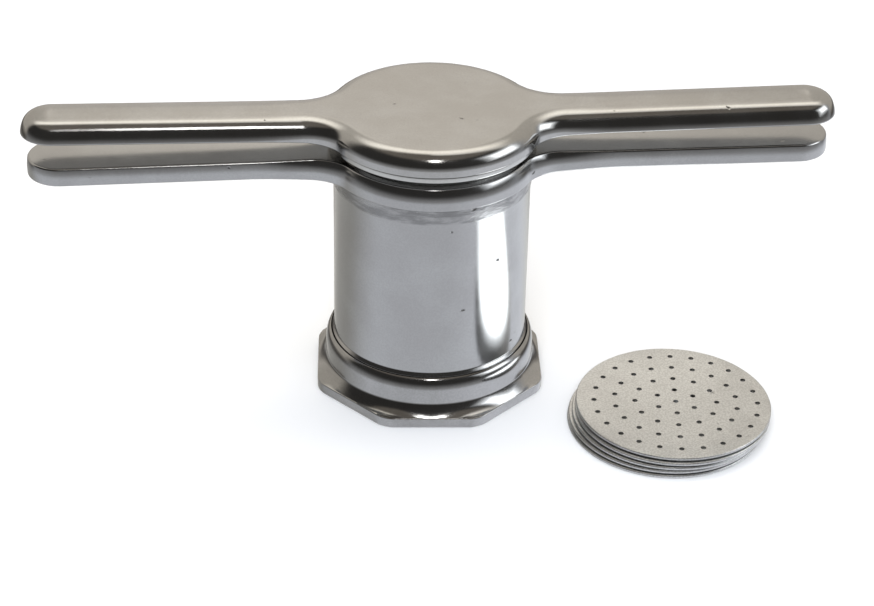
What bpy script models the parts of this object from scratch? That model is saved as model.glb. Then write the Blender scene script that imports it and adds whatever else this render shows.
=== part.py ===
"""Potato ricer: a plunger press, its screw-on screen ring and a pile of spare screens.

Units are metres and +Z is up. The origin is on the press axis, in the plane that the
ring stands on. The grips run along X, and the pile of spare screens lies beside the ring.
"""

import math

import bmesh
import bpy
from mathutils import Matrix

# Clearance left between neighbouring pieces
GAP = 0.0003

# Sections of the plates and grips, down from the top: the thickness, the arcs of the edge
# and the radius of the bottom corner. An arc is its radius and how far up its outward
# normal points, in degrees, where it starts and ends.
PLUNGER_PLATE = (0.0082, ((0.0060, 90, 60), (0.0060, 60, 24), (0.0060, 24, 0)), 0.0006)
PLUNGER_GRIP = (0.0074, ((0.0250, 90, 78), (0.0050, 78, 24), (0.0130, 24, 9)), 0.0005)
FLANGE_PLATE = (0.0079, ((0.0008, 90, 60), (0.0008, 60, 28), (0.0105, 28, 0)), 0.0005)
FLANGE_GRIP = (0.0064, ((0.0008, 90, 60), (0.0008, 60, 14), (0.0180, 14, 3)), 0.0005)
EDGE_STEPS = (2, 3, 2)
CORNER_STEPS = 2

# Outlines of the plates and grips, and how far each grip climbs towards its tip
BLEND_RADIUS = 0.0150
PLUNGER_TOP = 0.1060
PLUNGER_RADIUS = 0.0376
PLUNGER_HALF_LENGTH = 0.1400
PLUNGER_GRIP_HALF_WIDTH = 0.0109
PLUNGER_GRIP_RISE = 0.0014
FLANGE_TOP = 0.0923
FLANGE_RADIUS = 0.0363
FLANGE_HALF_LENGTH = 0.1385
FLANGE_GRIP_HALF_WIDTH = 0.0119
FLANGE_GRIP_RISE = -0.0004
FLANGE_TWIST = math.radians(0.6)

# Barrel
BARREL_RADIUS = 0.0343
NECK_RADIUS = 0.0346
NECK_TOP = 0.0838
NECK_BOTTOM = 0.0787
BORE_RADIUS = 0.0316

# Collar on the barrel that fills the mouth of the ring
STOP_RADIUS = 0.0351
STOP_TOP = 0.0189
STOP_BOTTOM = 0.0156

# Screw thread between the barrel and the ring
PITCH = 0.0040
TURNS = 2.0
THREAD_START = 0.0062
THREAD_BASE_WIDTH = 0.0019
THREAD_CREST_WIDTH = 0.0011
THREAD_EMBED = 0.0004
BARREL_THREAD_RADIUS = 0.0351
RING_THREAD_RADIUS = 0.0346

# Retaining ring: a rounded shoulder over a round collar, which sweeps out to eight flats
RING_HEIGHT = 0.0176
RING_ACROSS_FLATS = 0.0805
RING_FLATS = 8
RING_TWIST = math.radians(-3.7)
RING_CORNER_RADIUS = 0.0430
RING_FOOT = 0.0037
COLLAR_RADIUS = 0.0373
COLLAR_FOOT = 0.0083
SHOULDER_ARCS = ((0.0029, 56, 24), (0.0090, 24, 0))
SWEEP_START = (0.0022, 25)
FOOT_EDGE = 0.0003
RING_BORE = 0.0354
SEAT_RADIUS = 0.0347
LIP_RADIUS = 0.0300
LIP_THICKNESS = 0.0030

# Screens
SCREEN_RADIUS = 0.0343
SCREEN_THICKNESS = 0.00125
HOLES_OFF_CENTRE = 0.0009

# Piston: a cup with a flange under the plunger plate
PISTON_FLANGE_RADIUS = 0.0362
PISTON_FLANGE_THICKNESS = 0.0023
PISTON_RADIUS = 0.0312
PISTON_WALL = 0.0028
PISTON_BOTTOM = 0.0106
PISTON_FLOOR = 0.0040

# Stem under the plunger plate, and the screw that holds the piston to it
STEM_RADIUS = 0.0070
STEM_HOLE_DEPTH = 0.0140
SCREW_RADIUS = 0.0025
SCREW_HEAD_RADIUS = 0.0052
SCREW_LENGTH = 0.0170
SCREW_SLOT_WIDTH = 0.0014
SCREW_SLOT_DEPTH = 0.0012

# Steps around the turned shapes
COARSE_STEPS = 24
ROUND_STEPS = 48

# Where the pile lies, and how far each screen in it is shifted, from the bottom up
PILE_CENTRE = (0.0828, -0.0404)
PILE_SHIFTS = (
    (-0.0029, -0.0013),
    (-0.0025, -0.0009),
    (-0.0014, -0.0011),
    (-0.0004, -0.0009),
    (0.0, 0.0),
)

# Levels that follow from the dimensions above
PLUNGER_UNDERSIDE = PLUNGER_TOP - PLUNGER_PLATE[0]
PISTON_FLANGE_TOP = PLUNGER_UNDERSIDE - GAP
FITTED_SCREEN_BOTTOM = LIP_THICKNESS + GAP
BARREL_BOTTOM = FITTED_SCREEN_BOTTOM + SCREEN_THICKNESS + GAP
STEM_BOTTOM = PISTON_BOTTOM + PISTON_FLOOR + GAP


def clear_scene():
    for obj in list(bpy.data.objects):
        bpy.data.objects.remove(obj, do_unlink=True)


def new_collection(name):
    collection = bpy.data.collections.new(name)
    bpy.context.scene.collection.children.link(collection)
    return collection


def metal(name, color, roughness):
    material = bpy.data.materials.new(name)
    material.use_nodes = True
    shader = material.node_tree.nodes["Principled BSDF"]
    shader.inputs["Base Color"].default_value = (*color, 1.0)
    shader.inputs["Metallic"].default_value = 1.0
    shader.inputs["Roughness"].default_value = roughness
    return material


def new_object(name, mesh, collection, material=None):
    obj = bpy.data.objects.new(name, mesh)
    collection.objects.link(obj)
    if material:
        mesh.materials.append(material)
    return obj


def mark_cutter(obj):
    obj.hide_render = True
    obj.display_type = "WIRE"
    return obj


def boolean(obj, other, operation):
    modifier = obj.modifiers.new(f"{operation.lower()} {other.name}", "BOOLEAN")
    modifier.operation = operation
    modifier.solver = "EXACT"
    modifier.object = other


def arc(centre, radii, start, end, steps):
    """Points on an ellipse's arc, with its angles in degrees."""
    points = []
    for step in range(steps + 1):
        angle = math.radians(start + (end - start) * step / steps)
        x = centre[0] + radii[0] * math.cos(angle)
        y = centre[1] + radii[1] * math.sin(angle)
        points.append((x, y))
    return points


def chain(point, arcs, steps):
    """Points along arcs that follow on from each other; a negative radius is hollow."""
    points = [point]
    for (radius, first, last), count in zip(arcs, steps):
        x, z = points[-1]
        start = math.radians(first)
        for step in range(1, count + 1):
            angle = math.radians(first + (last - first) * step / count)
            across = radius * (math.cos(angle) - math.cos(start))
            down = radius * (math.sin(angle) - math.sin(start))
            points.append((x + across, z + down))
    return points


def turned(name, profile, collection, material=None, steps=ROUND_STEPS, closed=False):
    """Turn a profile of (radius, height) points about the Z axis."""
    mesh = bpy.data.meshes.new(name)
    edges = [(i, i + 1) for i in range(len(profile) - 1)]
    if closed:
        edges.append((len(profile) - 1, 0))
    mesh.from_pydata([(radius, 0.0, height) for radius, height in profile], edges, [])
    obj = new_object(name, mesh, collection, material)
    screw = obj.modifiers.new("turn", "SCREW")
    screw.steps = steps
    screw.render_steps = steps
    screw.use_merge_vertices = True
    screw.merge_threshold = 0.00001
    screw.use_smooth_shade = True
    return obj


def loft(bm, loops):
    """Faces between each closed loop of vertices and the next."""
    for left, right in zip(loops, loops[1:]):
        for i in range(len(left)):
            j = (i + 1) % len(left)
            bm.faces.new((left[i], right[i], right[j], left[j]))


def loft_object(name, bm, collection, material):
    bmesh.ops.remove_doubles(bm, verts=bm.verts, dist=0.00001)
    bmesh.ops.recalc_face_normals(bm, faces=bm.faces)
    mesh = bpy.data.meshes.new(name)
    bm.to_mesh(mesh)
    bm.free()
    mesh.shade_smooth()
    return new_object(name, mesh, collection, material)


def thread_ridge(name, root_radius, crest_radius, start_angle, collection):
    """A helical ridge, closed at both ends, that rises a pitch with each turn."""
    half_base = THREAD_BASE_WIDTH / 2
    half_crest = THREAD_CREST_WIDTH / 2
    section = (
        (root_radius, -half_base),
        (crest_radius, -half_crest),
        (crest_radius, half_crest),
        (root_radius, half_base),
    )
    bm = bmesh.new()
    verts = [bm.verts.new((x, 0.0, THREAD_START + z)) for x, z in section]
    face = bm.faces.new(verts)
    bmesh.ops.rotate(bm, verts=verts, cent=(0, 0, 0), matrix=Matrix.Rotation(start_angle, 3, "Z"))
    steps = round(TURNS * ROUND_STEPS)
    bmesh.ops.spin(
        bm,
        geom=[*verts, *face.edges, face],
        cent=(0, 0, 0),
        axis=(0, 0, 1),
        dvec=(0, 0, PITCH * TURNS / steps),
        angle=math.tau * TURNS,
        steps=steps,
    )
    bmesh.ops.recalc_face_normals(bm, faces=bm.faces)
    mesh = bpy.data.meshes.new(name)
    bm.to_mesh(mesh)
    bm.free()
    return mark_cutter(new_object(name, mesh, collection))


def grip_outline(radius, half_length, half_width):
    """The back half, from +X to -X, of a round plate with a round-ended grip on each side.

    Each point is (x, y, outward normal's x, outward normal's y).
    """
    tip_x = half_length - half_width
    blend_y = half_width + BLEND_RADIUS
    blend_x = math.sqrt((radius + BLEND_RADIUS) ** 2 - blend_y**2)
    meet = math.degrees(math.atan2(blend_y, blend_x))
    quarter = []
    for x, y in arc((tip_x, 0), (half_width, half_width), 0, 90, 8):
        quarter.append((x, y, (x - tip_x) / half_width, y / half_width))
    for step in range(1, 4):
        quarter.append((tip_x + (blend_x - tip_x) * step / 4, half_width, 0.0, 1.0))
    for x, y in arc((blend_x, blend_y), (BLEND_RADIUS, BLEND_RADIUS), -90, meet - 180, 6):
        quarter.append((x, y, (blend_x - x) / BLEND_RADIUS, (blend_y - y) / BLEND_RADIUS))
    for x, y in arc((0, 0), (radius, radius), meet, 90, 9)[1:]:
        quarter.append((x, y, x / radius, y / radius))
    left = [(-x, y, -nx, ny) for x, y, nx, ny in reversed(quarter[:-1])]
    return quarter + left


def edge_levels(section):
    """Down a section's edge: how far in from the outline, and how far below the top."""
    thickness, arcs, corner = section
    turn = arcs[-1][2]
    lean = math.radians(turn)
    points = chain((0.0, 0.0), arcs, EDGE_STEPS)
    x, z = points[-1]
    side = thickness + z - corner * (1 + math.sin(lean))
    foot = (x + side * math.tan(lean), z - side)
    points += chain(foot, ((corner, turn, -90),), (CORNER_STEPS,))
    reach = max(x for x, _ in points)
    return [(reach - x, -z) for x, z in points]


def grip_bar(name, outline, top, plate, grip, rise, collection, material=None):
    """A solid loft whose edge changes from the plate's section to the grip's."""
    start, end = 0.0300, 0.0640
    tip = outline[0][0]
    plate_edge = edge_levels(plate)
    grip_edge = edge_levels(grip)
    bm = bmesh.new()
    columns = []
    for x, y, nx, ny in outline:
        share = min(1.0, max(0.0, (abs(x) - start) / (end - start)))
        share = share * share * (3 - 2 * share)
        level = top + rise * max(0.0, abs(x) - start) / (tip - start)
        loop = []
        for side in (1, -1):
            edge = []
            for (run_a, drop_a), (run_b, drop_b) in zip(plate_edge, grip_edge):
                run = run_a + (run_b - run_a) * share
                drop = drop_a + (drop_b - drop_a) * share
                edge.append(bm.verts.new((x - nx * run, side * (y - ny * run), level - drop)))
            loop += edge if side == 1 else reversed(edge)
        columns.append(loop)
    loft(bm, columns)
    return loft_object(name, bm, collection, material)


def make_plunger_handle(parts, cutters, material):
    """The top plate with its two grips, and the stem that carries the piston."""
    outline = grip_outline(PLUNGER_RADIUS, PLUNGER_HALF_LENGTH, PLUNGER_GRIP_HALF_WIDTH)
    handle = grip_bar(
        "plunger_handle",
        outline,
        PLUNGER_TOP,
        PLUNGER_PLATE,
        PLUNGER_GRIP,
        PLUNGER_GRIP_RISE,
        parts,
        material,
    )
    hole_radius = SCREW_RADIUS + 0.0004
    hole_top = STEM_BOTTOM + STEM_HOLE_DEPTH
    root = PLUNGER_UNDERSIDE
    stem_profile = [
        (0, root + 0.0010),
        (STEM_RADIUS + 0.0040, root + 0.0010),
        (STEM_RADIUS + 0.0040, root - 0.0008),
        (STEM_RADIUS + 0.0010, root - 0.0030),
        (STEM_RADIUS, root - 0.0070),
        (STEM_RADIUS, STEM_BOTTOM + 0.0006),
        (STEM_RADIUS - 0.0006, STEM_BOTTOM),
        (hole_radius, STEM_BOTTOM),
        (hole_radius, hole_top),
        (0, hole_top),
    ]
    stem = turned("plunger stem", stem_profile, cutters, steps=COARSE_STEPS)
    boolean(handle, mark_cutter(stem), "UNION")


def make_piston_cup(parts, material):
    """A flanged cup with a flat floor and a countersunk hole for its screw."""
    wall = PISTON_RADIUS - PISTON_WALL
    flange_bottom = PISTON_FLANGE_TOP - PISTON_FLANGE_THICKNESS
    floor_top = PISTON_BOTTOM + PISTON_FLOOR
    hole_radius = SCREW_RADIUS + 0.0004
    sink_radius = SCREW_HEAD_RADIUS + 0.0008
    profile = [
        (PISTON_FLANGE_RADIUS - 0.0004, PISTON_FLANGE_TOP),
        (PISTON_FLANGE_RADIUS, PISTON_FLANGE_TOP - 0.0006),
        (PISTON_FLANGE_RADIUS, flange_bottom + 0.0006),
        (PISTON_FLANGE_RADIUS - 0.0004, flange_bottom),
        (PISTON_RADIUS, flange_bottom),
        (PISTON_RADIUS, PISTON_BOTTOM + 0.0008),
        (PISTON_RADIUS - 0.0008, PISTON_BOTTOM),
        (sink_radius, PISTON_BOTTOM),
        (hole_radius, PISTON_BOTTOM + sink_radius - hole_radius),
        (hole_radius, floor_top),
        (wall - 0.0020, floor_top),
        (wall, floor_top + 0.0020),
        (wall, PISTON_FLANGE_TOP),
    ]
    turned("piston_cup", profile, parts, material, closed=True)


def make_piston_screw(parts, cutters, material):
    """A countersunk screw with one slot, driven up into the stem from below."""
    head_face = PISTON_BOTTOM + GAP
    head_height = SCREW_HEAD_RADIUS - SCREW_RADIUS
    tip = head_face + SCREW_LENGTH
    profile = [
        (0, tip),
        (SCREW_RADIUS - 0.0006, tip),
        (SCREW_RADIUS, tip - 0.0006),
        (SCREW_RADIUS, head_face + head_height),
        (SCREW_HEAD_RADIUS, head_face),
        (0, head_face),
    ]
    screw = turned("piston_screw", profile, parts, material, steps=COARSE_STEPS)
    bm = bmesh.new()
    bmesh.ops.create_cube(bm, size=1.0)
    size = (SCREW_SLOT_WIDTH, 0.0130, 2 * SCREW_SLOT_DEPTH)
    bmesh.ops.scale(bm, vec=size, verts=bm.verts)
    bmesh.ops.translate(bm, vec=(0, 0, head_face), verts=bm.verts)
    mesh = bpy.data.meshes.new("screw slot")
    bm.to_mesh(mesh)
    bm.free()
    slot = new_object("screw slot", mesh, cutters)
    boolean(screw, mark_cutter(slot), "DIFFERENCE")


def make_barrel(parts, cutters, material):
    """A tube with a flange and two grips at the top, and an outside thread at its foot."""
    inside_flange = FLANGE_TOP - 0.0030
    profile = [
        (0, inside_flange),
        (NECK_RADIUS, inside_flange),
        (NECK_RADIUS, NECK_BOTTOM),
        (BARREL_RADIUS, NECK_BOTTOM - 0.0010),
        (BARREL_RADIUS, STOP_TOP),
        (STOP_RADIUS, STOP_TOP - 0.0011),
        (STOP_RADIUS, STOP_BOTTOM + 0.0004),
        (BARREL_RADIUS, STOP_BOTTOM - 0.0004),
        (BARREL_RADIUS, BARREL_BOTTOM + 0.0008),
        (BARREL_RADIUS - 0.0008, BARREL_BOTTOM),
        (0, BARREL_BOTTOM),
    ]
    barrel = turned("barrel", profile, parts, material)
    outline = grip_outline(FLANGE_RADIUS, FLANGE_HALF_LENGTH, FLANGE_GRIP_HALF_WIDTH)
    flange = grip_bar(
        "barrel flange",
        outline,
        FLANGE_TOP,
        FLANGE_PLATE,
        FLANGE_GRIP,
        FLANGE_GRIP_RISE,
        cutters,
    )
    flange.rotation_euler.z = FLANGE_TWIST
    boolean(barrel, mark_cutter(flange), "UNION")
    root = BARREL_RADIUS - THREAD_EMBED
    ridge = thread_ridge("barrel thread", root, BARREL_THREAD_RADIUS, math.pi, cutters)
    boolean(barrel, ridge, "UNION")
    bore_profile = [
        (0, FLANGE_TOP + 0.0010),
        (BORE_RADIUS + 0.0018, FLANGE_TOP + 0.0010),
        (BORE_RADIUS, FLANGE_TOP - 0.0008),
        (BORE_RADIUS, BARREL_BOTTOM - 0.0010),
        (0, BARREL_BOTTOM - 0.0010),
    ]
    bore = turned("barrel bore", bore_profile, cutters)
    boolean(barrel, mark_cutter(bore), "DIFFERENCE")


def ring_profile(reach):
    """The ring's closed section, for a foot that reaches this far from the axis."""
    points = chain((0.0, RING_HEIGHT), SHOULDER_ARCS, (3, 2))
    profile = [(COLLAR_RADIUS - points[-1][0] + x, z) for x, z in points]
    hollow, turn = SWEEP_START
    profile += chain((COLLAR_RADIUS, COLLAR_FOOT), ((-hollow, 0, turn),), (2,))
    x, z = profile[-1]
    slope = math.degrees(math.atan2(reach - FOOT_EDGE - x, z - RING_FOOT))
    last = 2 * slope - turn
    climb = math.sin(math.radians(last)) - math.sin(math.radians(turn))
    profile += chain((x, z), ((-(z - RING_FOOT) / climb, turn, last),), (4,))[1:]
    return profile + [
        (reach, RING_FOOT - FOOT_EDGE),
        (reach, FOOT_EDGE),
        (reach - FOOT_EDGE, 0),
        (LIP_RADIUS + 0.0008, 0),
        (LIP_RADIUS, 0.0008),
        (LIP_RADIUS, LIP_THICKNESS),
        (SEAT_RADIUS, LIP_THICKNESS),
        (SEAT_RADIUS, BARREL_BOTTOM),
        (RING_BORE, BARREL_BOTTOM + 0.0005),
        (RING_BORE, RING_HEIGHT - 0.0004),
    ]


def make_retaining_ring(parts, cutters, material):
    """A nut that is round above and eight-sided below, with a lip under the screen."""
    bm = bmesh.new()
    loops = []
    for flat in range(RING_FLATS):
        for local in (-22.5, -21.4, -18, -12, -6, 0, 6, 12, 18, 21.4):
            reach = RING_ACROSS_FLATS / 2 / math.cos(math.radians(local))
            angle = math.radians(360 / RING_FLATS * flat + local) + RING_TWIST
            loop = []
            for radius, z in ring_profile(min(reach, RING_CORNER_RADIUS)):
                point = (radius * math.cos(angle), radius * math.sin(angle), z)
                loop.append(bm.verts.new(point))
            loops.append(loop)
    loft(bm, [*loops, loops[0]])
    ring = loft_object("retaining_ring", bm, parts, material)
    root = RING_BORE + THREAD_EMBED
    boolean(ring, thread_ridge("ring thread", root, RING_THREAD_RADIUS, 0.0, cutters), "UNION")


def round_holes(rings, pitch, hole_radius, sides):
    """Hole outlines on rings about a centre hole, with six more on each ring outward."""
    outlines = []
    for ring in range(rings + 1):
        count = max(1, 6 * ring)
        for index in range(count):
            angle = math.tau * index / count + math.radians(84)
            centre = (ring * pitch * math.cos(angle), ring * pitch * math.sin(angle))
            outlines.append(arc(centre, (hole_radius, hole_radius), 0, 360, sides)[:-1])
    return outlines


def slots(count, pitch, width, reach):
    """Outlines of parallel slots that end on a circle."""
    outlines = []
    for index in range(count):
        y = pitch * (index - (count - 1) / 2)
        half = math.sqrt(reach**2 - y**2)
        right = arc((half, y), (width / 2, width / 2), -90, 90, 4)
        outlines.append(right + [(-x, 2 * y - v) for x, v in right])
    return outlines


def make_screen(name, centre, bottom, outlines, parts, cutters, material):
    """A flat round plate with holes of the given outlines right through it.

    The punched pattern sits a little to one side of the plate's centre.
    """
    bm = bmesh.new()
    bmesh.ops.create_cone(
        bm,
        cap_ends=True,
        segments=ROUND_STEPS,
        radius1=SCREEN_RADIUS,
        radius2=SCREEN_RADIUS,
        depth=SCREEN_THICKNESS,
    )
    mesh = bpy.data.meshes.new(name)
    bm.to_mesh(mesh)
    bm.free()
    screen = new_object(name, mesh, parts, material)
    screen.location = (*centre, bottom + SCREEN_THICKNESS / 2)

    bm = bmesh.new()
    for outline in outlines:
        face = bm.faces.new([bm.verts.new((x, y, -SCREEN_THICKNESS)) for x, y in outline])
        wall = bmesh.ops.extrude_face_region(bm, geom=[face])["geom"]
        top = [item for item in wall if isinstance(item, bmesh.types.BMVert)]
        bmesh.ops.translate(bm, verts=top, vec=(0, 0, 2 * SCREEN_THICKNESS))
    bmesh.ops.recalc_face_normals(bm, faces=bm.faces)
    mesh = bpy.data.meshes.new(f"{name} holes")
    bm.to_mesh(mesh)
    bm.free()
    holes = new_object(f"{name} holes", mesh, cutters)
    holes.location = screen.location
    holes.location.x += HOLES_OFF_CENTRE
    boolean(screen, mark_cutter(holes), "DIFFERENCE")


def make_spare_screens(parts, cutters, material):
    """The pile beside the press, with coarser screens under the finest one."""
    patterns = (
        round_holes(2, 0.0115, 0.0040, 10),
        round_holes(2, 0.0115, 0.0030, 8),
        slots(7, 0.0070, 0.0025, 0.0260),
        round_holes(3, 0.0085, 0.0016, 6),
        round_holes(4, 0.0072, 0.00095, 6),
    )
    for index, (pattern, shift) in enumerate(zip(patterns, PILE_SHIFTS)):
        centre = (PILE_CENTRE[0] + shift[0], PILE_CENTRE[1] + shift[1])
        bottom = index * (SCREEN_THICKNESS + GAP)
        name = f"spare_screen_{index + 1}"
        make_screen(name, centre, bottom, pattern, parts, cutters, material)


def main():
    clear_scene()
    parts = new_collection("potato_ricer")
    cutters = new_collection("cutters")
    polished = metal("polished aluminium", (0.62, 0.60, 0.57), 0.18)
    machined = metal("machined aluminium", (0.66, 0.66, 0.65), 0.30)
    rolled = metal("rolled aluminium", (0.70, 0.69, 0.66), 0.35)
    steel = metal("steel", (0.55, 0.55, 0.56), 0.30)
    make_plunger_handle(parts, cutters, polished)
    make_piston_cup(parts, machined)
    make_piston_screw(parts, cutters, steel)
    make_barrel(parts, cutters, polished)
    make_retaining_ring(parts, cutters, polished)
    fitted = round_holes(3, 0.0085, 0.0020, 6)
    make_screen("fitted_screen", (0, 0), FITTED_SCREEN_BOTTOM, fitted, parts, cutters, rolled)
    make_spare_screens(parts, cutters, rolled)


main()
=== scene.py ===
"""Looks of the potato ricer: fine meshes, metal materials, studio and camera.

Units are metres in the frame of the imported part: the origin is on the press axis in the
plane the ring stands on, +Z is up, the grips run along X and the camera is on the -Y side.
"""

import math

import bmesh
import bpy
from mathutils import Matrix, Vector


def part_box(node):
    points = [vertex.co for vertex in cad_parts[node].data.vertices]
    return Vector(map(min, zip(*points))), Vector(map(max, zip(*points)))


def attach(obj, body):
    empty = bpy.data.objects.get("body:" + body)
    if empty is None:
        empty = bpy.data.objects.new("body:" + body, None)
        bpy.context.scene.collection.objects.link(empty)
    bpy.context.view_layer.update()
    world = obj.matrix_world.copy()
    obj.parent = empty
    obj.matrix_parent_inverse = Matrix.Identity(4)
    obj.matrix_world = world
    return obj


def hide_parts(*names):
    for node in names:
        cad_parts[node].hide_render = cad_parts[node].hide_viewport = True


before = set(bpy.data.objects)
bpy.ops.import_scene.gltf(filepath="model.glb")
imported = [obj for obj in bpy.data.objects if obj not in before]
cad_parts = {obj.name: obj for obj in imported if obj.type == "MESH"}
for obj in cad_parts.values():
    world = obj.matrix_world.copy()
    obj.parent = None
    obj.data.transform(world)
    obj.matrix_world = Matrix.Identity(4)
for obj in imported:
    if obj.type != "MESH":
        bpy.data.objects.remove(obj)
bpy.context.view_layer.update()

# Sections of the plates and grips, down from the top: the thickness, the arcs of the edge
# and the radius of the bottom corner. An arc is its radius and how far up its outward
# normal points, in degrees, where it starts and ends.
PLUNGER_PLATE = (0.0082, ((0.0060, 90, 60), (0.0060, 60, 24), (0.0060, 24, 0)), 0.0006)
PLUNGER_GRIP = (0.0074, ((0.0250, 90, 78), (0.0050, 78, 24), (0.0130, 24, 9)), 0.0005)
FLANGE_PLATE = (0.0079, ((0.0008, 90, 60), (0.0008, 60, 28), (0.0105, 28, 0)), 0.0005)
FLANGE_GRIP = (0.0064, ((0.0008, 90, 60), (0.0008, 60, 11), (0.0180, 11, -1)), 0.0005)
# Along X, the plate's section changes to the grip's between these distances.
SECTION_CHANGE = (0.0300, 0.0640)
BLEND_RADIUS = 0.0150
PLUNGER_TOP = 0.1060
PLUNGER_RADIUS = 0.0376
PLUNGER_GRIP_HALF_WIDTH = 0.0109
PLUNGER_GRIP_RISE = 0.0014
FLANGE_TOP = 0.0923
FLANGE_RADIUS = 0.0363
FLANGE_HALF_LENGTH = 0.1385
FLANGE_GRIP_HALF_WIDTH = 0.0119
FLANGE_GRIP_RISE = -0.0004
FLANGE_TWIST = math.radians(0.6)

BARREL_RADIUS = 0.0343
NECK_RADIUS = 0.0346
NECK_TOP = 0.0838
NECK_BOTTOM = 0.0787
BORE_RADIUS = 0.0316
LINING_RADIUS = 0.0320
STOP_RADIUS = 0.0351
STOP_TOP = 0.0189
STOP_BOTTOM = 0.0156

PITCH = 0.0040
TURNS = 2.0
THREAD_START = 0.0062
THREAD_BASE_WIDTH = 0.0019
THREAD_CREST_WIDTH = 0.0011
BARREL_THREAD_RADIUS = 0.0351
RING_THREAD_RADIUS = 0.0346

RING_ACROSS_FLATS = 0.0805
RING_TWIST = math.radians(-3.7)
RING_CORNER_RADIUS = 0.04275
RING_CORNER_BLEND = 0.00020
RING_FOOT = 0.0037
COLLAR_RADIUS = 0.0373
COLLAR_FOOT = 0.0083
SHOULDER_ARCS = ((0.0029, 56, 24), (0.0090, 24, 0))
SWEEP_START = (0.0022, 25)
FOOT_EDGE = 0.0003
RING_BORE = 0.0354
SEAT_RADIUS = 0.0347
LIP_RADIUS = 0.0300
LIP_THICKNESS = 0.0030

HOLES_OFF_CENTRE = 0.0009
HOLES_TURN = math.radians(84)
RIM_SOFTNESS = 0.00042

PISTON_FLANGE_THICKNESS = 0.0023
PISTON_RADIUS = 0.0312
PISTON_WALL = 0.0028
PISTON_FLOOR = 0.0040
SINK_RADIUS = 0.0060
STEM_RADIUS = 0.0070
STEM_ROOT_FLARE = 0.0040
STEM_HOLE_RADIUS = 0.0029
STEM_HOLE_DEPTH = 0.0140

ROUND_STEPS = 240
RING_STEPS = 384
THREAD_STEPS = 120
THREAD_FADE = 12

RING_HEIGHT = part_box("retaining_ring")[1][2]
BARREL_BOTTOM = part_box("barrel")[0][2]
PISTON_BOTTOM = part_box("piston_cup")[0][2]
PISTON_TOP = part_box("piston_cup")[1][2]
PISTON_FLANGE_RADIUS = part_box("piston_cup")[1][0]
PLUNGER_HALF_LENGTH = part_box("plunger_handle")[1][0]
STEM_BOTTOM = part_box("plunger_handle")[0][2]


# ---------------------------------------------------------------- meshes


def link(name, mesh, body, slot, *nodes):
    """Add a piece that rides on a body and takes the place of the nodes."""
    obj = bpy.data.objects.new(name, mesh)
    bpy.context.scene.collection.objects.link(obj)
    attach(obj, body)
    if nodes:
        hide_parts(*nodes)
    return obj


def finish_mesh(bm, name, angle=35):
    """A smooth-shaded mesh with outward faces, sharp where it turns by more than the angle."""
    bmesh.ops.remove_doubles(bm, verts=bm.verts, dist=0.000002)
    bmesh.ops.recalc_face_normals(bm, faces=bm.faces)
    mesh = bpy.data.meshes.new(name)
    bm.to_mesh(mesh)
    bm.free()
    mesh.shade_smooth()
    mesh.set_sharp_from_angle(angle=math.radians(angle))
    return mesh


def arc(centre, radii, start, end, steps):
    """Points along a round or oval arc between two angles in degrees."""
    points = []
    for step in range(steps + 1):
        angle = math.radians(start + (end - start) * step / steps)
        x = centre[0] + radii[0] * math.cos(angle)
        y = centre[1] + radii[1] * math.sin(angle)
        points.append((x, y))
    return points


def chain(point, arcs, steps):
    """Points along arcs that follow on from each other; a negative radius is hollow."""
    points = [point]
    for (radius, first, last), count in zip(arcs, steps):
        x, z = points[-1]
        start = math.radians(first)
        for step in range(1, count + 1):
            angle = math.radians(first + (last - first) * step / count)
            across = radius * (math.cos(angle) - math.cos(start))
            down = radius * (math.sin(angle) - math.sin(start))
            points.append((x + across, z + down))
    return points


def rounded(points, radius, steps=3):
    """Round the sharp corners of a closed profile, except on the axis."""
    result = []
    count = len(points)
    for index, point in enumerate(points):
        corner = Vector(point)
        before = Vector(points[index - 1]) - corner
        after = Vector(points[(index + 1) % count]) - corner
        reach = min(radius, before.length * 0.45, after.length * 0.45)
        turn = before.angle(after, math.pi)
        if turn > math.radians(160) or corner.x < 1e-6:
            result.append(tuple(corner))
            continue
        first = corner + before.normalized() * reach
        last = corner + after.normalized() * reach
        for step in range(steps + 1):
            t = step / steps
            spot = first * (1 - t) ** 2 + corner * 2 * t * (1 - t) + last * t**2
            result.append(tuple(spot))
    return result


def loft(bm, loops, closed_loops=True, closed_path=True):
    """Faces between neighbouring loops of vertices."""
    pairs = list(zip(loops, loops[1:]))
    if closed_path:
        pairs.append((loops[-1], loops[0]))
    for left, right in pairs:
        span = len(left) if closed_loops else len(left) - 1
        for i in range(span):
            j = (i + 1) % len(left)
            corners = [left[i], right[i], right[j], left[j]]
            bm.faces.new(corners)


def turned(name, profile, steps=ROUND_STEPS, angle=35):
    """Turn a closed profile of (radius, height) points about the Z axis."""
    bm = bmesh.new()
    loops = []
    for step in range(steps):
        turn = math.tau * step / steps
        c, s = math.cos(turn), math.sin(turn)
        loops.append([bm.verts.new((r * c, r * s, z)) for r, z in profile])
    loft(bm, loops)
    return finish_mesh(bm, name, angle)


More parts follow.
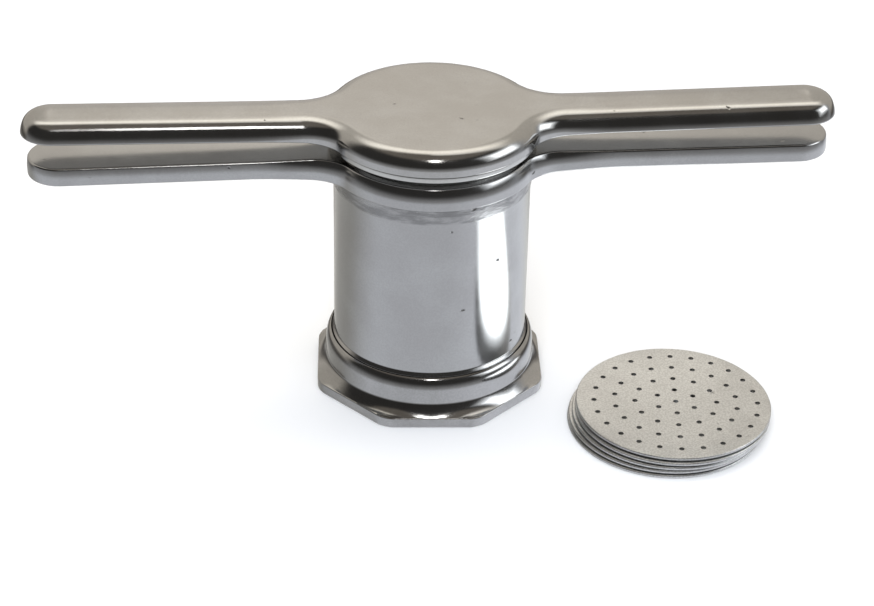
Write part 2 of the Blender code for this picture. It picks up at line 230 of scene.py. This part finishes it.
def grip_outline(radius, half_length, half_width):
    """The back half of the outline, from +X to -X, with outward normals."""
    tip_x = half_length - half_width
    blend_y = half_width + BLEND_RADIUS
    blend_x = math.sqrt((radius + BLEND_RADIUS) ** 2 - blend_y**2)
    meet = math.degrees(math.atan2(blend_y, blend_x))
    quarter = []
    for x, y in arc((tip_x, 0), (half_width, half_width), 0, 90, 36):
        quarter.append((x, y, (x - tip_x) / half_width, y / half_width))
    for step in range(1, 30):
        quarter.append((tip_x + (blend_x - tip_x) * step / 30, half_width, 0.0, 1.0))
    for x, y in arc((blend_x, blend_y), (BLEND_RADIUS, BLEND_RADIUS), -90, meet - 180, 28):
        quarter.append((x, y, (blend_x - x) / BLEND_RADIUS, (blend_y - y) / BLEND_RADIUS))
    for x, y in arc((0, 0), (radius, radius), meet, 90, 48)[1:]:
        quarter.append((x, y, x / radius, y / radius))
    left = [(-x, y, -nx, ny) for x, y, nx, ny in reversed(quarter[:-1])]
    return quarter + left


def edge_levels(section):
    """Down a section's edge: how far in from the outline, and how far below the top."""
    thickness, arcs, corner = section
    points = chain((0.0, 0.0), arcs, (10, 20, 16))
    turn = math.radians(arcs[-1][2])
    x, z = points[-1]
    side = thickness + z - corner * (1 + math.sin(turn))
    points += chain((x + side * math.tan(turn), z - side), ((corner, arcs[-1][2], -90),), (8,))
    reach = max(x for x, _ in points)
    return [(reach - x, -z) for x, z in points]


def grip_bar(name, outline, top, plate, grip, rise):
    """A solid loft whose edge changes from the plate's section to the grip's."""
    start, end = SECTION_CHANGE
    tip = outline[0][0]
    plate_edge = edge_levels(plate)
    grip_edge = edge_levels(grip)
    across = [0.9, 0.6, 0.2, -0.2, -0.6, -0.9]
    bm = bmesh.new()
    loops = []
    for x, y, nx, ny in outline:
        share = min(1.0, max(0.0, (abs(x) - start) / (end - start)))
        share = share * share * (3 - 2 * share)
        level = top + rise * max(0.0, abs(x) - start) / (tip - start)
        edge = []
        for (run_a, drop_a), (run_b, drop_b) in zip(plate_edge, grip_edge):
            run = run_a + (run_b - run_a) * share
            drop = drop_a + (drop_b - drop_a) * share
            edge.append((x - nx * run, y - ny * run, level - drop))
        loop = edge + [(edge[-1][0], edge[-1][1] * k, edge[-1][2]) for k in across]
        loop += [(a, -b, c) for a, b, c in reversed(edge)]
        loop += [(edge[0][0], -edge[0][1] * k, edge[0][2]) for k in across]
        loops.append([bm.verts.new(point) for point in loop])
    loft(bm, loops, closed_path=False)
    return finish_mesh(bm, name, 40)


def applied(mesh, other, operation, name):
    """The result of a Boolean between two meshes."""
    first = bpy.data.objects.new(name, mesh)
    second = bpy.data.objects.new(f"{name} cutter", other)
    for obj in (first, second):
        bpy.context.scene.collection.objects.link(obj)
    modifier = first.modifiers.new("cut", "BOOLEAN")
    modifier.operation = operation
    modifier.solver = "EXACT"
    modifier.object = second
    graph = bpy.context.evaluated_depsgraph_get()
    result = bpy.data.meshes.new_from_object(first.evaluated_get(graph))
    for obj in (first, second):
        bpy.data.objects.remove(obj, do_unlink=True)
    return result


def thread_ridge(name, root_radius, crest_radius, start_angle):
    """A helical ridge with softened corners, which sinks away at both ends."""
    half_base = THREAD_BASE_WIDTH / 2
    half_crest = THREAD_CREST_WIDTH / 2
    corners = [
        (root_radius, -half_base),
        (crest_radius, -half_crest),
        (crest_radius, half_crest),
        (root_radius, half_base),
    ]
    section = rounded(corners, 0.0001)
    steps = round(TURNS * THREAD_STEPS)
    bm = bmesh.new()
    loops = []
    for step in range(steps + 1):
        turn = start_angle + math.tau * TURNS * step / steps
        lift = THREAD_START + PITCH * TURNS * step / steps
        fade = max(0.02, min(1.0, step / THREAD_FADE, (steps - step) / THREAD_FADE))
        loop = []
        for r, z in section:
            r = root_radius + (r - root_radius) * fade
            spot = (r * math.cos(turn), r * math.sin(turn), lift + z)
            loop.append(bm.verts.new(spot))
        loops.append(loop)
    loft(bm, loops, closed_path=False)
    bm.faces.new(reversed(loops[0]))
    bm.faces.new(loops[-1])
    return finish_mesh(bm, name)


def make_plunger():
    """The plate with its grips, and the stem that the piston is screwed to."""
    outline = grip_outline(PLUNGER_RADIUS, PLUNGER_HALF_LENGTH, PLUNGER_GRIP_HALF_WIDTH)
    bar = grip_bar(
        "plunger_casting", outline, PLUNGER_TOP, PLUNGER_PLATE, PLUNGER_GRIP, PLUNGER_GRIP_RISE
    )
    root = PLUNGER_TOP - PLUNGER_PLATE[0]
    flare = STEM_ROOT_FLARE
    hole_top = STEM_BOTTOM + STEM_HOLE_DEPTH
    profile = [(STEM_RADIUS + flare, root + 0.0010)]
    profile += arc((STEM_RADIUS + flare, root - flare), (flare, flare), 90, 180, 8)
    profile += [
        (STEM_RADIUS, STEM_BOTTOM + 0.0006),
        (STEM_RADIUS - 0.0006, STEM_BOTTOM),
        (STEM_HOLE_RADIUS, STEM_BOTTOM),
        (STEM_HOLE_RADIUS, hole_top),
        (0.0, hole_top),
        (0.0, root + 0.0010),
    ]
    stem = turned("plunger_stem", profile, 72)
    return [
        link("plunger_casting", bar, "handle", "polished_casting", "plunger_handle"),
        link("plunger_stem", stem, "handle", "polished_casting"),
    ]


def make_piston():
    """A flanged cup with a countersunk hole in its floor."""
    flange_bottom = PISTON_TOP - PISTON_FLANGE_THICKNESS
    wall = PISTON_RADIUS - PISTON_WALL
    floor_top = PISTON_BOTTOM + PISTON_FLOOR
    sink_top = PISTON_BOTTOM + SINK_RADIUS - STEM_HOLE_RADIUS
    profile = [
        (PISTON_FLANGE_RADIUS, PISTON_TOP),
        (PISTON_FLANGE_RADIUS, flange_bottom),
        (PISTON_RADIUS, flange_bottom),
        (PISTON_RADIUS, PISTON_BOTTOM),
        (SINK_RADIUS, PISTON_BOTTOM),
        (STEM_HOLE_RADIUS, sink_top),
        (STEM_HOLE_RADIUS, floor_top),
        (wall, floor_top),
        (wall, PISTON_TOP),
    ]
    mesh = turned("piston", rounded(profile, 0.0006, 4))
    return [link("piston", mesh, "piston", "machined_piston", "piston_cup")]


def make_tube():
    """The barrel's outside, from the neck down to the stop and the thread's root."""
    inner = LINING_RADIUS
    profile = [
        (inner, FLANGE_TOP - 0.0020),
        (NECK_RADIUS - 0.0002, FLANGE_TOP - 0.0020),
        (NECK_RADIUS, NECK_TOP),
        (NECK_RADIUS, NECK_BOTTOM),
        (BARREL_RADIUS, NECK_BOTTOM - 0.0010),
        (BARREL_RADIUS, STOP_TOP),
        (STOP_RADIUS, STOP_TOP - 0.0011),
        (STOP_RADIUS, STOP_BOTTOM + 0.0004),
        (BARREL_RADIUS, STOP_BOTTOM - 0.0004),
        (BARREL_RADIUS, BARREL_BOTTOM + 0.0008),
        (BARREL_RADIUS - 0.0008, BARREL_BOTTOM),
        (inner, BARREL_BOTTOM),
    ]
    return turned("tube", rounded(profile, 0.0003, 3))


def make_flange():
    """The barrel's flange and grips, with a round opening."""
    outline = grip_outline(FLANGE_RADIUS, FLANGE_HALF_LENGTH, FLANGE_GRIP_HALF_WIDTH)
    flange = grip_bar("flange", outline, FLANGE_TOP, FLANGE_PLATE, FLANGE_GRIP, FLANGE_GRIP_RISE)
    flange.transform(Matrix.Rotation(FLANGE_TWIST, 4, "Z"))
    reach = LINING_RADIUS + 0.0004
    plug = [
        (0.0, FLANGE_TOP - 0.0200),
        (reach, FLANGE_TOP - 0.0200),
        (reach, FLANGE_TOP + 0.0050),
        (0.0, FLANGE_TOP + 0.0050),
    ]
    return applied(flange, turned("plug", plug), "DIFFERENCE", "open flange")


def make_lining():
    """The barrel's smooth bore, with a softened mouth."""
    profile = [
        (LINING_RADIUS + 0.0020, FLANGE_TOP),
        (BORE_RADIUS + 0.0012, FLANGE_TOP),
        (BORE_RADIUS, FLANGE_TOP - 0.0012),
        (BORE_RADIUS, BARREL_BOTTOM),
        (LINING_RADIUS + 0.0010, BARREL_BOTTOM),
        (LINING_RADIUS + 0.0010, FLANGE_TOP - 0.0060),
        (LINING_RADIUS + 0.0020, FLANGE_TOP - 0.0060),
    ]
    return turned("lining", rounded(profile, 0.0002, 2))


def make_barrel():
    """The tube, flange and lining as one casting, and the thread's ridge."""
    body = applied(make_tube(), make_flange(), "UNION", "barrel_casting")
    body = applied(body, make_lining(), "UNION", "barrel_casting")
    body.shade_smooth()
    body.set_sharp_from_angle(angle=math.radians(32))
    thread = thread_ridge("barrel_thread", BARREL_RADIUS - 0.0004, BARREL_THREAD_RADIUS, math.pi)
    return [
        link("barrel_casting", body, "barrel", "polished_casting", "barrel"),
        link("barrel_thread", thread, "barrel", "polished_casting"),
    ]


def ring_profile(reach):
    """The ring's closed section, for a foot that reaches this far from the axis.

    It runs down the shoulder, the collar and a hollow sweep to the foot's rounded edge,
    then back up the opening, the lip that the screen lies on and the bore.
    """
    profile = chain((0.0, RING_HEIGHT), SHOULDER_ARCS, (16, 20))
    profile = [(COLLAR_RADIUS - profile[-1][0] + x, z) for x, z in profile]
    hollow, turn = SWEEP_START
    profile += chain((COLLAR_RADIUS, COLLAR_FOOT), ((-hollow, 0, turn),), (8,))
    x, z = profile[-1]
    slope = math.degrees(math.atan2(reach - FOOT_EDGE - x, z - RING_FOOT))
    last = 2 * slope - turn
    radius = (z - RING_FOOT) / (math.sin(math.radians(last)) - math.sin(math.radians(turn)))
    profile += chain((x, z), ((-radius, turn, last),), (20,))[1:]
    upper = (reach - FOOT_EDGE, RING_FOOT - FOOT_EDGE)
    lower = (reach - FOOT_EDGE, FOOT_EDGE)
    profile += arc(upper, (FOOT_EDGE, FOOT_EDGE), 60, 0, 3)
    profile += arc(lower, (FOOT_EDGE, FOOT_EDGE), 0, -90, 3)
    return profile + [
        (LIP_RADIUS + 0.0008, 0.0),
        (LIP_RADIUS, 0.0008),
        (LIP_RADIUS, LIP_THICKNESS),
        (SEAT_RADIUS, LIP_THICKNESS),
        (SEAT_RADIUS, BARREL_BOTTOM),
        (RING_BORE, BARREL_BOTTOM + 0.0005),
        (RING_BORE, RING_HEIGHT - 0.0004),
    ]


def make_ring():
    """The ring as one loft of its profile, whose foot follows the eight flats."""
    flat = math.tau / 8
    blend = RING_CORNER_BLEND
    bm = bmesh.new()
    loops = []
    for step in range(RING_STEPS):
        turn = math.tau * step / RING_STEPS
        local = (turn + flat / 2) % flat - flat / 2
        reach = RING_ACROSS_FLATS / 2 / math.cos(local)
        past = math.log1p(math.exp((RING_CORNER_RADIUS - reach) / blend))
        reach = RING_CORNER_RADIUS - past * blend
        turn += RING_TWIST
        c, s = math.cos(turn), math.sin(turn)
        loops.append([bm.verts.new((r * c, r * s, z)) for r, z in ring_profile(reach)])
    loft(bm, loops)
    mesh = finish_mesh(bm, "ring_casting", 30)
    thread = thread_ridge("ring_thread", RING_BORE + 0.0003, RING_THREAD_RADIUS, 0.0)
    return [
        link("ring_casting", mesh, "base", "polished_casting", "retaining_ring"),
        link("ring_thread", thread, "base", "polished_casting"),
    ]


def round_holes(rings, pitch, hole_radius, sides):
    """Outlines of a centre hole and rings of 6, 12, 18 and more holes about it."""
    outlines = []
    for ring in range(rings + 1):
        count = max(1, 6 * ring)
        for index in range(count):
            angle = math.tau * index / count + HOLES_TURN
            centre = (ring * pitch * math.cos(angle), ring * pitch * math.sin(angle))
            outlines.append(arc(centre, (hole_radius, hole_radius), 0, 360, sides)[:-1])
    return outlines


def slots(count, pitch, width, reach):
    """Outlines of parallel slots whose ends lie on a circle."""
    outlines = []
    for index in range(count):
        y = pitch * (index - (count - 1) / 2)
        half = math.sqrt(reach**2 - y**2)
        right = arc((half, y), (width / 2, width / 2), -90, 90, 12)
        outlines.append(right + [(-x, 2 * y - v) for x, v in right])
    return outlines


def make_screen(node, name, body, outlines):
    """A stamped disc: softly rounded rim and clean punched holes."""
    low, high = (Vector(corner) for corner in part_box(node))
    radius = (high.x - low.x) / 2
    thick = high.z - low.z
    soft = RIM_SOFTNESS
    profile = [(0.0, thick), (radius * 0.5, thick)]
    profile += arc((radius - soft, thick - soft), (soft, soft), 90, 0, 5)
    profile += arc((radius - soft, soft), (soft, soft), 0, -90, 5)
    profile += [(radius * 0.5, 0.0), (0.0, 0.0)]
    disc = turned(name, profile, 192, 40)
    bm = bmesh.new()
    for outline in outlines:
        ends = []
        for level in (-0.001, thick + 0.001):
            ends.append([bm.verts.new((x + HOLES_OFF_CENTRE, y, level)) for x, y in outline])
        loft(bm, [[a, b] for a, b in zip(*ends)], closed_loops=False)
        bm.faces.new(ends[0])
        bm.faces.new(ends[1])
    holes = finish_mesh(bm, f"{name} holes")
    mesh = applied(disc, holes, "DIFFERENCE", name)
    mesh.transform(Matrix.Translation(((low.x + high.x) / 2, (low.y + high.y) / 2, low.z)))
    mesh.shade_smooth()
    mesh.set_sharp_from_angle(angle=math.radians(35))
    return link(name, mesh, body, "rolled_sheet", node)


def make_screens():
    """The screen in use and the pile of five, each with its own holes."""
    coarse = round_holes(rings=2, pitch=0.0115, hole_radius=0.0040, sides=40)
    medium = round_holes(rings=2, pitch=0.0115, hole_radius=0.0030, sides=32)
    slotted = slots(count=7, pitch=0.0070, width=0.0025, reach=0.0260)
    fine = round_holes(rings=3, pitch=0.0085, hole_radius=0.0016, sides=24)
    finest = round_holes(rings=4, pitch=0.0072, hole_radius=0.00095, sides=20)
    fitted = round_holes(rings=3, pitch=0.0085, hole_radius=0.0020, sides=24)
    return [
        make_screen("fitted_screen", "screen_in_use", "screen", fitted),
        make_screen("spare_screen_1", "screen_coarse", "base", coarse),
        make_screen("spare_screen_2", "screen_medium", "spare_2", medium),
        make_screen("spare_screen_3", "screen_slotted", "spare_3", slotted),
        make_screen("spare_screen_4", "screen_fine", "spare_4", fine),
        make_screen("spare_screen_5", "screen_finest", "spare_5", finest),
    ]


# ------------------------------------------------------------- materials


class Graph:
    """Short ways to add nodes to a material's or world's tree."""

    def __init__(self, owner):
        owner.use_nodes = True
        self.tree = owner.node_tree
        self.tree.nodes.clear()

    def node(self, kind, inputs=None, **settings):
        node = self.tree.nodes.new(kind)
        for key, value in settings.items():
            setattr(node, key, value)
        for key, value in (inputs or {}).items():
            if isinstance(value, bpy.types.NodeSocket):
                self.tree.links.new(value, node.inputs[key])
            else:
                node.inputs[key].default_value = value
        return node

    def math(self, operation, a, b=0.0, c=0.0):
        node = self.node("ShaderNodeMath", {0: a, 1: b, 2: c}, operation=operation)
        return node.outputs[0]

    def plus(self, base, value, amount):
        """The base with this amount of the value added."""
        return self.math("MULTIPLY_ADD", value, amount, base)

    def noise(self, vector, scale, detail=3.0, rough=0.5):
        inputs = {"Vector": vector, "Scale": scale, "Detail": detail, "Roughness": rough}
        return self.node("ShaderNodeTexNoise", inputs).outputs["Fac"]

    def ramp(self, value, low, high, to_low=0.0, to_high=1.0, smooth=True):
        inputs = {
            "Value": value,
            "From Min": low,
            "From Max": high,
            "To Min": to_low,
            "To Max": to_high,
        }
        kind = "SMOOTHSTEP" if smooth else "LINEAR"
        return self.node("ShaderNodeMapRange", inputs, interpolation_type=kind).outputs[0]

    def mix(self, factor, a, b):
        inputs = {0: factor, 6: a, 7: b}
        return self.node("ShaderNodeMix", inputs, data_type="RGBA").outputs[2]

    def stretch(self, vector, scale):
        inputs = {"Vector": vector, "Scale": scale}
        return self.node("ShaderNodeMapping", inputs).outputs[0]


def pit_mask(graph, spot):
    """Where the small irregular pits are."""
    bend = graph.node("ShaderNodeTexNoise", {"Vector": spot, "Scale": 900.0}).outputs["Color"]
    inputs = {0: bend, 1: (0.0016, 0.0016, 0.0016), 2: spot}
    bent = graph.node("ShaderNodeVectorMath", inputs, operation="MULTIPLY_ADD").outputs[0]
    bent = graph.stretch(bent, (0.6, 0.6, 1.3))
    cells = graph.node("ShaderNodeTexVoronoi", {"Vector": bent, "Scale": 170.0})
    keep = graph.ramp(graph.noise(spot, 110.0, 1.0), 0.61, 0.66)
    return graph.math("MULTIPLY", graph.ramp(cells.outputs["Distance"], 0.13, 0.04), keep)


def neck_mask(graph, spot):
    """Where the barrel's unpolished neck is, between its flange and tube; shade is painted there.
    """
    across, along, up = graph.node("ShaderNodeSeparateXYZ", {0: spot}).outputs
    flat = graph.node("ShaderNodeCombineXYZ", {0: across, 1: along}).outputs[0]
    reach = graph.node("ShaderNodeVectorMath", {0: flat}, operation="LENGTH").outputs["Value"]
    band = graph.ramp(up, NECK_BOTTOM - 0.0006, NECK_BOTTOM + 0.0002)
    band = graph.math("MULTIPLY", band, graph.ramp(up, NECK_TOP + 0.0006, NECK_TOP))
    return graph.math("MULTIPLY", band, graph.ramp(reach, 0.0360, 0.0354))


def metal(
    name, dark, light, rough, waves, grain, grain_scale, pits, neck=False, speck=0.1
):
    """Worn aluminium: cloudy tone, uneven polish, fine grain, small pits and soft waves.

    The waves and the grain are bump heights in metres, and grain_scale is how closely the
    grain repeats along each axis. From 0 to 1, pits is how dark and deep the pits are and
    speck is how strong the dark speckle is. The neck adds the barrel's rough cast band,
    mottled darker partly for its cast tone and partly as painted shade under the flange.
    """
    material = bpy.data.materials.new(name)
    graph = Graph(material)
    spot = graph.node("ShaderNodeTexCoord").outputs["Object"]
    clouds = graph.noise(spot, 70.0, 4.0, 0.55)
    blotch = graph.noise(spot, 16.0, 2.0, 0.5)
    streaks = graph.noise(graph.stretch(spot, grain_scale), 1.0, 3.0, 0.6)
    fine = graph.noise(spot, 2400.0, 2.0, 0.5)
    pit = pit_mask(graph, spot)

    tone = graph.math("MULTIPLY_ADD", clouds, 0.6, graph.math("MULTIPLY", blotch, 0.4))
    color = graph.mix(graph.ramp(tone, 0.36, 0.64), (*dark, 1.0), (*light, 1.0))
    speckle = graph.ramp(graph.noise(spot, 1500.0, 2.0), 0.38, 0.62, 0.0, speck)
    color = graph.mix(speckle, color, (*(0.6 * part for part in dark), 1.0))
    color = graph.mix(graph.math("MULTIPLY", pit, pits), color, (0.05, 0.045, 0.04, 1.0))

    roughness = graph.math("MULTIPLY_ADD", clouds, 0.10, rough - 0.05)
    roughness = graph.plus(roughness, streaks, 0.06)
    height = graph.math("MULTIPLY", graph.noise(spot, 26.0, 1.5, 0.4), waves)
    height = graph.plus(height, streaks, grain)
    height = graph.plus(height, fine, grain * 0.5)
    height = graph.plus(height, pit, pits * -0.00025)
    if neck:
        band = neck_mask(graph, spot)
        cast = graph.noise(graph.stretch(spot, (420.0, 420.0, 1400.0)), 1.0, 4.0, 0.65)
        # Painted shade: the neck band is mottled darker, partly for its rough cast tone and partly
        # for the shade under the flange's overhang.
        cast_mottle_and_shade = graph.noise(graph.stretch(spot, (110.0, 110.0, 420.0)), 1.0, 3.0, 0.6)
        cast_mottle_and_shade = graph.math("MULTIPLY", band, graph.ramp(cast_mottle_and_shade, 0.38, 0.62, 0.10, 0.75))
        color = graph.mix(cast_mottle_and_shade, color, (0.20, 0.20, 0.205, 1.0))
        height = graph.plus(height, graph.math("MULTIPLY", cast, band), 0.00012)
        roughness = graph.plus(roughness, band, 0.10)
    bump = graph.node("ShaderNodeBump", {"Strength": 1.0, "Distance": 1.0, "Height": height})
    inputs = {
        "Base Color": color,
        "Metallic": 1.0,
        "Roughness": roughness,
        "Normal": bump.outputs[0],
    }
    shader = graph.node("ShaderNodeBsdfPrincipled", inputs)
    graph.node("ShaderNodeOutputMaterial", {"Surface": shader.outputs[0]})
    return material


def give(pieces, material):
    """Put one material on each of the pieces."""
    for piece in pieces:
        piece.data.materials.clear()
        piece.data.materials.append(material)


# ---------------------------------------------------------------- studio


FLOOR_HALF_WIDTH = 6.0
FLOOR_DROP = 0.0001
LIGHT_TARGET = Vector((0.0, 0.0, 0.05))
DISC_OFFSET = Vector((0.0020, -0.0010, 0.0006))

# Camera: degrees, metres, and its lens in millimetres on a sensor 36 mm wide
CAMERA_AZIMUTH = -5.78
CAMERA_ELEVATION = 31.93
CAMERA_ROLL = 1.15
CAMERA_DISTANCE = 0.80693
CAMERA_TARGET = (0.0, -0.02581, 0.04243)
CAMERA_LENS = 95.97


def make_floor():
    """A pale floor just under the part, which the metal doesn't reflect."""
    bm = bmesh.new()
    bmesh.ops.create_grid(bm, x_segments=8, y_segments=8, size=FLOOR_HALF_WIDTH)
    mesh = bpy.data.meshes.new("floor")
    bm.to_mesh(mesh)
    bm.free()
    floor = bpy.data.objects.new("floor", mesh)
    floor.location.z = -FLOOR_DROP
    floor.visible_glossy = False
    bpy.context.scene.collection.objects.link(floor)
    material = bpy.data.materials.new("floor")
    graph = Graph(material)
    inputs = {"Base Color": (0.88, 0.88, 0.88, 1.0), "Roughness": 0.7, "Specular IOR Level": 0.0}
    shader = graph.node("ShaderNodeBsdfPrincipled", inputs)
    graph.node("ShaderNodeOutputMaterial", {"Surface": shader.outputs[0]})
    mesh.materials.append(material)


def make_world():
    """A soft room: a warm wall behind, a dark front and left, and a grey ground.

    The metal reflects this ground in place of the white floor, and past the floor the
    camera sees a plain pale grey. Directions are turned into an azimuth from the front
    towards +X and an elevation, both in degrees.
    """
    world = bpy.data.worlds.new("studio")
    bpy.context.scene.world = world
    graph = Graph(world)
    way = graph.node("ShaderNodeTexCoord").outputs["Generated"]
    x, y, z = graph.node("ShaderNodeSeparateXYZ", {0: way}).outputs
    toward = graph.math("MULTIPLY", y, -1.0)
    azimuth = graph.math("DEGREES", graph.math("ARCTAN2", x, toward))
    elevation = graph.math("DEGREES", graph.math("ARCSINE", z))

    wall = graph.mix(graph.ramp(elevation, 12, 34), (0.80, 0.75, 0.68, 1), (1.16, 1.08, 0.95, 1))
    off_centre = graph.math("ABSOLUTE", graph.math("SUBTRACT", x, 0.06))
    wall = graph.mix(graph.ramp(off_centre, 0.04, 0.24, 0.0, 0.85), wall, (0.70, 0.65, 0.57, 1))
    wall = graph.mix(graph.ramp(elevation, 44, 62), wall, (2.15, 2.03, 1.80, 1))
    wall = graph.mix(graph.ramp(elevation, -14, 2), (0.12, 0.11, 0.10, 1), wall)

    front = graph.mix(graph.ramp(elevation, -16, 6), (0.42, 0.42, 0.42, 1), (0.05, 0.048, 0.045, 1))
    front = graph.mix(graph.ramp(elevation, 45, 60), front, (0.235, 0.21, 0.18, 1))
    side = graph.mix(graph.ramp(elevation, 28, 48), (0.50, 0.52, 0.55, 1), (1.25, 1.20, 1.10, 1))
    front = graph.mix(graph.ramp(azimuth, 78, 104), front, side)
    room = graph.mix(graph.ramp(y, 0.02, 0.32), front, wall)

    ground = graph.mix(graph.ramp(azimuth, -128, -70), (0.50, 0.49, 0.46, 1), (0.86, 0.88, 0.92, 1))
    ground = graph.mix(graph.ramp(azimuth, 10, 70), ground, (1.06, 1.09, 1.15, 1))
    ground = graph.mix(graph.ramp(azimuth, 128, 160), ground, (0.80, 0.80, 0.78, 1))
    ground = graph.mix(graph.ramp(azimuth, -150, -176), ground, (0.72, 0.70, 0.66, 1))
    room = graph.mix(graph.ramp(elevation, -14, -26), room, ground)
    seen = graph.node("ShaderNodeLightPath").outputs["Is Camera Ray"]
    room = graph.mix(seen, room, (0.88, 0.88, 0.875, 1))
    shader = graph.node("ShaderNodeBackground", {"Color": room, "Strength": 1.0})
    graph.node("ShaderNodeOutputWorld", {"Surface": shader.outputs[0]})


def place_light(name, light, color, shows_in_metal):
    """Add a light that either shows in the metal or lights the floor."""
    light.color = color
    obj = bpy.data.objects.new(name, light)
    bpy.context.scene.collection.objects.link(obj)
    obj.visible_diffuse = not shows_in_metal
    obj.visible_glossy = shows_in_metal
    return obj


def area_light(name, azimuth, elevation, distance, size, radiance, color, shows_in_metal):
    """A rectangular light, its azimuth taken from the front towards +X.

    Its radiance is the brightness of its face.
    """
    light = bpy.data.lights.new(name, "AREA")
    light.shape = "RECTANGLE"
    light.size, light.size_y = size
    light.energy = radiance * math.pi * size[0] * size[1]
    obj = place_light(name, light, color, shows_in_metal)
    obj.visible_camera = False
    a, e = math.radians(azimuth), math.radians(elevation)
    way = Vector((math.sin(a) * math.cos(e), -math.cos(a) * math.cos(e), math.sin(e)))
    obj.location = LIGHT_TARGET + way * distance
    obj.rotation_euler = way.to_track_quat("Z", "Y").to_euler()


def bright_disc(diameter, radiance, color):
    """An upward light on the top spare screen: the bright disc that the barrel reflects."""
    low, high = (Vector(corner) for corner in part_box("spare_screen_5"))
    centre = (low + high) / 2
    light = bpy.data.lights.new("bright disc", "AREA")
    light.shape = "DISK"
    light.size = diameter
    light.energy = radiance * math.pi * math.pi * diameter**2 / 4
    obj = place_light("bright disc", light, color, True)
    obj.visible_camera = False
    obj.location = Vector((centre.x, centre.y, high.z)) + DISC_OFFSET
    obj.rotation_euler = (math.pi, 0.0, 0.0)


def sky_light(spread, strength, color):
    """Even light on the floor from straight above."""
    light = bpy.data.lights.new("sky", "SUN")
    light.energy = strength
    light.angle = math.radians(spread)
    place_light("sky", light, color, False)


def make_lights():
    """Lights that the metal shows, lights for the floor, and the disc on the screens."""
    cool = (0.95, 0.98, 1.0)
    pale_blue = (0.90, 0.95, 1.05)
    area_light("window", 74, 24, 1.5, (0.75, 0.60), 1.9, cool, True)
    area_light("window glow", 72, 24, 1.52, (1.00, 0.84), 0.8, cool, True)
    area_light("window edge", 71, 24, 1.54, (1.24, 1.06), 0.5, cool, True)
    area_light("front lamp", -2, 50, 1.5, (0.20, 0.34), 8.0, (1.0, 0.98, 0.95), True)
    area_light("overhead", 0, 66, 1.8, (1.6, 1.6), 1.7, pale_blue, False)
    area_light("key", -12, 29, 1.5, (0.6, 0.5), 13.0, (0.93, 0.97, 1.0), False)
    sky_light(100, 1.1, pale_blue)
    bright_disc(0.064, 3.0, (0.94, 0.98, 1.0))


def make_camera():
    """A camera that looks at the barrel from its given azimuth and elevation."""
    azimuth, elevation = math.radians(CAMERA_AZIMUTH), math.radians(CAMERA_ELEVATION)
    roll = math.radians(CAMERA_ROLL)
    target = Vector(CAMERA_TARGET)
    level = math.cos(elevation)
    back = Vector((math.sin(azimuth) * level, -math.cos(azimuth) * level, math.sin(elevation)))
    right = (-back).cross(Vector((0, 0, 1))).normalized()
    up = right.cross(-back).normalized()
    tilted_right = right * math.cos(roll) + up * math.sin(roll)
    tilted_up = up * math.cos(roll) - right * math.sin(roll)
    camera = bpy.data.cameras.new("camera")
    camera.lens = CAMERA_LENS
    camera.sensor_width = 36.0
    camera.clip_start = 0.01
    obj = bpy.data.objects.new("camera", camera)
    bpy.context.scene.collection.objects.link(obj)
    turn = Matrix((tilted_right, tilted_up, back)).transposed()
    obj.matrix_world = Matrix.Translation(target + back * CAMERA_DISTANCE) @ turn.to_4x4()
    bpy.context.scene.camera = obj


def main():
    plunger = make_plunger()
    piston = make_piston()
    barrel = make_barrel()
    ring = make_ring()
    screens = make_screens()
    casting = metal(
        "polished casting",
        (0.39, 0.385, 0.38),
        (0.43, 0.43, 0.43),
        rough=0.12,
        waves=0.00022,
        grain=0.0000016,
        grain_scale=(90.0, 900.0, 900.0),
        pits=0.8,
    )
    nut = metal(
        "worn casting",
        (0.33, 0.33, 0.33),
        (0.41, 0.41, 0.415),
        rough=0.12,
        waves=0.00032,
        grain=0.0000022,
        grain_scale=(500.0, 500.0, 260.0),
        pits=1.0,
        speck=0.12,
    )
    tube = metal(
        "polished tube",
        (0.39, 0.39, 0.395),
        (0.43, 0.435, 0.44),
        rough=0.13,
        waves=0.00010,
        grain=0.0000012,
        grain_scale=(260.0, 260.0, 1600.0),
        pits=1.0,
        neck=True,
    )
    turned_metal = metal(
        "turned piston",
        (0.50, 0.50, 0.49),
        (0.58, 0.58, 0.57),
        rough=0.18,
        waves=0.00004,
        grain=0.0000020,
        grain_scale=(120.0, 120.0, 3000.0),
        pits=0.2,
    )
    sheet = metal(
        "rolled sheet",
        (0.58, 0.585, 0.59),
        (0.69, 0.70, 0.705),
        rough=0.34,
        waves=0.00004,
        grain=0.0000050,
        grain_scale=(200.0, 1500.0, 1500.0),
        pits=0.5,
        speck=0.38,
    )
    steel = metal(
        "turned steel",
        (0.34, 0.34, 0.35),
        (0.44, 0.44, 0.45),
        rough=0.26,
        waves=0.00001,
        grain=0.0000020,
        grain_scale=(800.0, 800.0, 2600.0),
        pits=0.2,
    )
    give(plunger, casting)
    give(ring, nut)
    give(barrel, tube)
    give(piston, turned_metal)
    give(screens, sheet)
    give([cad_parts["piston_screw"]], steel)
    make_floor()
    make_world()
    make_lights()
    make_camera()
    bpy.context.scene.view_settings.view_transform = "Standard"


main()
